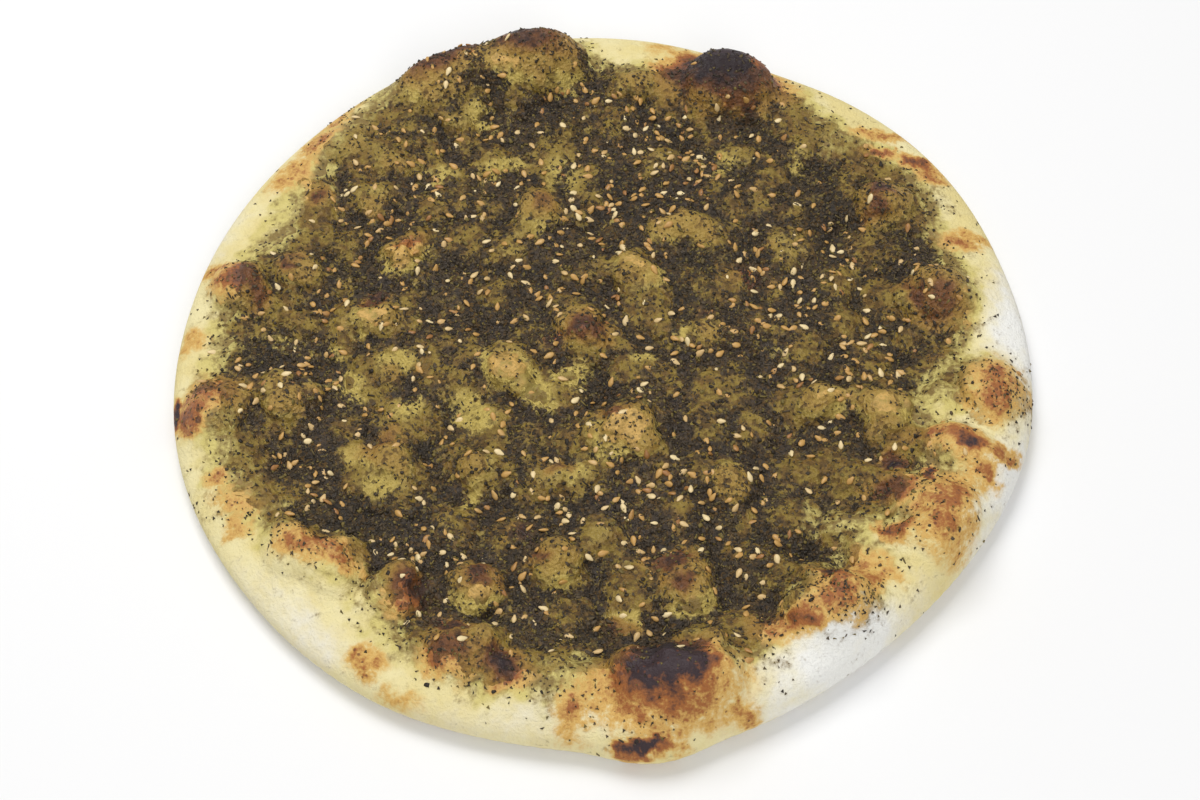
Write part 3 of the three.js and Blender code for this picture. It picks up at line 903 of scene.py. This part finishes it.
def baking_group():
    """Turns a raw colour golden, brown and at last charred as the toast value rises."""
    graph, given, out = new_group(
        "Baking", {"Raw": "Color", "Toast": "Float", "Golden": "Color", "Brown": "Color",
                   "Char": "Color"}, {"Colour": "Color"})
    toast = given["Toast"]
    shade = graph.blend(graph.ramp(toast, 0.05, 0.36), given["Raw"], given["Golden"])
    shade = graph.blend(graph.ramp(toast, 0.30, 0.62), shade, given["Brown"])
    dark = graph.blend(0.55, given["Brown"], given["Char"])
    shade = graph.blend(graph.ramp(toast, 0.60, 0.82), shade, dark)
    shade = graph.blend(graph.ramp(toast, 0.78, 1.0), shade, given["Char"])
    graph.feed(out["Colour"], shade)
    return graph.tree


def speckle_group():
    """Scattered dots of uneven size: Share is how many cells of the pattern hold a dot."""
    graph, given, out = new_group(
        "Speckle", {"Vector": "Vector", "Size": "Float", "Share": "Float"}, {"Mask": "Float"})
    scale = graph.math("DIVIDE", 1.0, given["Size"])
    cells = graph.add("ShaderNodeTexVoronoi", {"Vector": given["Vector"], "Scale": scale})
    chance = graph.add("ShaderNodeSeparateColor", {0: cells.outputs["Color"]}).outputs[0]
    floor = graph.math("SUBTRACT", 1.0, given["Share"])
    radius = graph.times(graph.ramp(chance, floor, 1.25), 0.75)
    inner = graph.times(radius, 0.55)
    dot = graph.math("SUBTRACT", 1.0, graph.ramp(cells.outputs["Distance"], inner, radius))
    graph.feed(out["Mask"], graph.times(dot, graph.math("GREATER_THAN", chance, floor)))
    return graph.tree


GROUPS = {"Baking": baking_group, "Speckle": speckle_group}


def use_group(graph, name, feeds):
    """Places a group that several materials use, built the first time it is asked for."""
    tree = bpy.data.node_groups.get(name) or GROUPS[name]()
    return graph.add("ShaderNodeGroup", node_tree=tree, feeds=feeds).outputs[0]


def new_material(name):
    """The graph of an empty material; its surface is added last."""
    material = bpy.data.materials.new(name)
    material.use_nodes = True
    material.node_tree.nodes.clear()
    return Graph(material.node_tree, material)


def dough_material(settings):
    """Matt dough: cream, yellow where oily, white where floury, toasted and specked with herbs, with
    painted shade in its hollows.
    """
    graph = new_material("baked_dough")
    place = graph.place()
    broad = graph.noise(place, 13 * MM, 5)
    middling = graph.noise(place, 3 * MM, 5)
    fine = graph.noise(place, 0.9 * MM, 3)
    shade = graph.blend(graph.ramp(broad, 0.35, 0.65), settings.pale, settings.warm)
    flour = graph.mask("flour", (broad, 0.6), (middling, 0.4))
    shade = graph.blend(graph.ramp(flour, 0.05, 0.95), shade, settings.floury)
    oil = graph.mask("oil", (middling, 0.5))
    shade = graph.blend(graph.ramp(oil, 0.25, 0.85), shade, settings.oily)
    cover = graph.mask("cover", (middling, 0.9))
    soaked = graph.ramp(cover, 0.1, 0.8)
    shade = graph.blend(soaked, shade, settings.soaked)
    # Painted shade: the dough turns tawny where it lies below its surroundings.
    painted_hollow_shade = graph.times(graph.ramp(graph.mask("painted_hollow_shade"), 0.55, 1.0), soaked)
    shade = graph.blend(painted_hollow_shade, shade, bpy.context.scene.flatbread.crust.tawny_and_hollow_shade)
    stain = graph.math("ADD", graph.mask("strewn", (middling, 1.4), (fine, 0.8)),
                       graph.times(graph.ramp(cover, 0.0, 0.4), 0.35))
    shade = graph.blend(graph.times(graph.ramp(stain, 0.15, 0.9), 0.9), shade, settings.stain)
    toast = graph.mask("toast")
    uneven = graph.math("ADD", graph.spread(middling, 0.8), graph.spread(fine, 0.5))
    toast = graph.math("ADD", toast, graph.times(uneven, graph.ramp(toast, 0.03, 0.35)))
    shade = use_group(graph, "Baking",
                      {"Raw": shade, "Toast": toast, "Golden": settings.golden,
                       "Brown": settings.brown, "Char": settings.char})
    for share, most, size, strength, dot in (
            (graph.ramp(toast, 0.12, 0.55), 0.5, 1.2 * MM, 0.75, settings.scorch),
            (graph.mask("strewn"), 0.6, 1.1 * MM, 0.8, settings.dust)):
        dots = use_group(graph, "Speckle",
                         {"Vector": place, "Size": size, "Share": graph.times(share, most)})
        shade = graph.blend(graph.times(dots, strength), shade, dot)
    roughness = graph.math("SUBTRACT", 0.82, graph.times(oil, 0.3))
    height = graph.math("ADD", graph.times(fine, 0.7), middling)
    return graph.surface(shade, roughness, height, 0.7 * MM)


def crust_material(settings):
    """Oily herb paste: dark and crumbly where thick, olive where thin, browned on the blisters, with
    painted shade between the crumbs.
    """
    graph = new_material("zaatar_crust")
    place = graph.place()
    broad = graph.noise(place, 15 * MM, 5)
    middling = graph.noise(place, 3.5 * MM, 5)
    patchy = graph.noise(place, 1.8 * MM, 4)
    fine = graph.noise(place, 0.9 * MM, 4)
    cells = graph.add("ShaderNodeTexVoronoi", {"Vector": place, "Scale": 1 / (1.1 * MM)})
    chance = graph.add("ShaderNodeSeparateColor", {0: cells.outputs["Color"]}).outputs[0]
    thick = graph.blend(graph.ramp(broad, 0.4, 0.6), settings.paste, settings.dusky)
    thick = graph.blend(graph.times(graph.ramp(chance, 0.5, 1.0), 0.5), thick, settings.tawny_and_hollow_shade)
    thin = graph.blend(graph.ramp(middling, 0.4, 0.62), settings.thin, settings.tawny_and_hollow_shade)
    rubbed = graph.mask("bare", (middling, 0.9))
    thin = graph.blend(graph.ramp(rubbed, 0.05, 0.6), thin, settings.rubbed)
    fringe = graph.mask("cover", (middling, 0.7))
    thin = graph.blend(graph.ramp(fringe, 0.1, 0.75), bpy.context.scene.flatbread.dough.oily, thin)
    herbs = graph.mask("herbs", (middling, 0.6), (patchy, 0.8), (chance, 0.5), (fine, 0.5))
    share = graph.ramp(herbs, 0.08, 0.6)
    shade = graph.blend(share, thin, thick)
    # Painted shade: crevices between the crumbs, where the bump pattern is low, are darkened almost to
    # black.
    crevice_shade = graph.times(graph.ramp(fine, 0.54, 0.36), graph.ramp(share, -0.25, 0.7))
    shade = graph.blend(crevice_shade, shade, settings.crevice_shade)
    toast = graph.mask("toast")
    toast = graph.math("ADD", toast, graph.times(graph.spread(middling, 0.8), toast))
    shade = use_group(graph, "Baking",
                      {"Raw": shade, "Toast": toast,
                       "Golden": graph.blend(share, settings.golden, settings.umber),
                       "Brown": graph.blend(share, settings.brown, settings.sepia),
                       "Char": settings.char})
    height = graph.math("ADD", cells.outputs["Distance"], graph.times(fine, 1.5))
    return graph.surface(shade, graph.ramp(chance, -1.0, 1.6), height, 0.5 * MM)


def herb_material(settings):
    """Dry leaf, each crumb in a tone of its own."""
    graph = new_material("herb_flake")
    tint = graph.mask("tint")
    fine = graph.noise(graph.place(), 0.5 * MM, 3)
    shade = graph.blend(graph.ramp(tint, 0.1, 0.7), settings.dark, settings.grey)
    shade = graph.blend(graph.ramp(tint, 0.72, 0.9), shade, settings.green)
    shade = graph.blend(graph.ramp(fine, 0.5, 0.2), shade, settings.dark)
    return graph.surface(shade, 0.65, fine, 0.2 * MM)


def seed_material(settings):
    """Hulled sesame with a satin skin, cream to tan."""
    graph = new_material("sesame_seed")
    tint = graph.mask("tint")
    fine = graph.noise(graph.place(), 1.3 * MM, 3)
    toast = graph.math("ADD", graph.ramp(tint, 0.55, 1.3), graph.spread(fine, 0.3))
    raw = graph.blend(graph.ramp(tint, -0.05, 0.5), settings.cream, settings.gold)
    shade = use_group(graph, "Baking",
                      {"Raw": raw, "Toast": toast, "Golden": settings.gold,
                       "Brown": settings.tan, "Char": settings.tan})
    return graph.surface(shade, 0.42, fine, 0.15 * MM)


# ---- Stage ----

def add_light(name, place, size, power):
    """A square area light that points at the bread."""
    select_only()
    bpy.ops.object.light_add(type="AREA", location=place)
    light = bpy.context.object
    light.name = name
    light.data.size = size
    light.data.energy = power
    light.rotation_euler = (-Vector(place)).to_track_quat("-Z", "Y").to_euler()


def add_floor(shade):
    floor = new_piece("studio_floor", "plane", size=4.0, location=(0, 0, 0))
    floor.data.materials.append(new_material("studio_floor").surface(shade, 0.9))


def add_world(strength):
    world = bpy.data.worlds.new("studio")
    world.use_nodes = True
    background = world.node_tree.nodes["Background"].inputs
    background["Color"].default_value = (1, 1, 1, 1)
    background["Strength"].default_value = strength
    bpy.context.scene.world = world


def add_camera(target, height, distance, lens):
    place = target + Vector((0, -math.cos(height), math.sin(height))) * distance
    select_only()
    bpy.ops.object.camera_add(location=place, rotation=(math.pi / 2 - height, 0, 0))
    camera = bpy.context.object
    camera.name = "camera"
    camera.data.sensor_width = 36
    camera.data.lens = lens
    bpy.context.scene.camera = camera


# ---- Operators: one for each piece or group of like pieces, and one for the stage ----

class BakeDough(bpy.types.Operator):
    """Shapes the round of dough with its blisters, rolled edge and underside, and bakes it"""
    bl_idname = "flatbread.bake_dough"
    bl_label = "Bake the Dough"

    def execute(self, context):
        settings = context.scene.flatbread.dough
        form = smooth_form("bread")
        outline = outline_of(form, OUTLINE_LEVEL)
        dough = hexagonal_disc("flatbread", *TOP_CUTS)
        top_count = len(dough.data.vertices)
        inward = round_off(dough, outline)
        drape(dough, form, inward)
        bpy.data.objects.remove(form)
        raise_blisters(dough)
        shape_surface(dough, inward, settings)
        close_underside(dough, outline)
        add_masks(dough, top_count)
        finish_piece(dough, dough_material(settings), "baked_dough", "bread")
        return {"FINISHED"}


class SpreadCrust(bpy.types.Operator):
    """Spreads the paste of thyme, sumac and oil over the dough and bakes it into a crust"""
    bl_idname = "flatbread.spread_crust"
    bl_label = "Spread the Herb Crust"

    def execute(self, context):
        crust = trim_crust(herb_ground())
        finish_piece(crust, crust_material(context.scene.flatbread.crust), "zaatar_crust",
                     "zaatar_topping")
        return {"FINISHED"}


class StrewHerbs(bpy.types.Operator):
    """Strews crumbs of thyme and finer specks over the crust and thinly over the rim"""
    bl_idname = "flatbread.strew_herbs"
    bl_label = "Strew the Herbs"

    def execute(self, context):
        settings = context.scene.flatbread.herbs
        ground = herb_ground()
        thick = smoothstep(mask_of(ground, "herbs"), 0.0, 0.55)
        strewn = mask_of(ground, "strewn")
        material = herb_material(settings)
        crumbs = [herb_crumb(*shape) for shape in CRUMBS]
        coarse = scatter(ground, "thyme_crumbs", crumbs, thick + 0.05 * strewn, settings.crumbs)
        splinters = [herb_splinter(*shape) for shape in SPLINTERS]
        fine = scatter(ground, "herb_specks", splinters, 0.5 * thick + 0.35 * strewn,
                       settings.dust)
        for piece in (coarse, fine):
            finish_piece(piece, material, "herb_flake")
        return {"FINISHED"}


class SowSesame(bpy.types.Operator):
    """Presses sesame seeds into the crust, thickest where the herbs lie thick"""
    bl_idname = "flatbread.sow_sesame"
    bl_label = "Sow the Sesame"

    def execute(self, context):
        settings = context.scene.flatbread.seeds
        ground = herb_ground()
        places = points_of(ground)
        thick = smoothstep(mask_of(ground, "herbs"), 0.0, 0.5)
        clumps = smoothstep(mottle(places, 8 * MM, 7.0), -0.6, 0.5)
        zones = 0.45 + 0.55 * patches(places, SEEDED)
        where = (0.2 + 0.8 * thick) * mask_of(ground, "cover") * zones * (0.3 + 0.7 * clumps)
        where += 0.02 * mask_of(ground, "strewn")
        seed = sesame_seed("seed", *(size / MM for size in (settings.length, settings.width,
                                                            settings.thickness)))
        sesame = scatter(ground, "sesame_seeds", [seed], where, settings.seeds)
        finish_piece(sesame, seed_material(settings), "sesame_seed")
        return {"FINISHED"}


class SetStage(bpy.types.Operator):
    """Sets the floor, the soft lights and the camera"""
    bl_idname = "flatbread.set_stage"
    bl_label = "Set the Stage"

    def execute(self, context):
        settings = context.scene.flatbread.stage
        add_floor(settings.floor)
        add_world(SKY)
        for light in LIGHTS:
            add_light(*light)
        add_camera(Vector(LOOK_AT), settings.height, settings.distance, LENS)
        context.scene.view_settings.view_transform = "Standard"
        return {"FINISHED"}


class FlatbreadPanel(bpy.types.Panel):
    """Lists the steps of making the bread, with the sizes and colours that each one uses"""
    bl_idname = "VIEW3D_PT_flatbread"
    bl_label = "Zaatar Flatbread"
    bl_space_type = "VIEW_3D"
    bl_region_type = "UI"
    bl_category = "Flatbread"

    def draw(self, context):
        for step, part in STEPS:
            box = self.layout.box()
            settings = getattr(context.scene.flatbread, part)
            for name in settings.__annotations__:
                box.prop(settings, name)
            box.operator(step.bl_idname)


STEPS = ((BakeDough, "dough"), (SpreadCrust, "crust"), (StrewHerbs, "herbs"), (SowSesame, "seeds"),
         (SetStage, "stage"))
CLASSES = (DoughSettings, CrustSettings, HerbSettings, SeedSettings, StageSettings,
           FlatbreadSettings, BakeDough, SpreadCrust, StrewHerbs, SowSesame, SetStage,
           FlatbreadPanel)


def register():
    for each in CLASSES:
        bpy.utils.register_class(each)
    bpy.types.Scene.flatbread = PointerProperty(type=FlatbreadSettings)


def unregister():
    del bpy.types.Scene.flatbread
    for each in reversed(CLASSES):
        bpy.utils.unregister_class(each)


def main():
    register()
    bpy.ops.flatbread.bake_dough()
    bpy.ops.flatbread.spread_crust()
    bpy.ops.flatbread.strew_herbs()
    bpy.ops.flatbread.sow_sesame()
    bpy.data.objects.remove(herb_ground())
    bpy.ops.flatbread.set_stage()


if __name__ == "__main__":
    main()
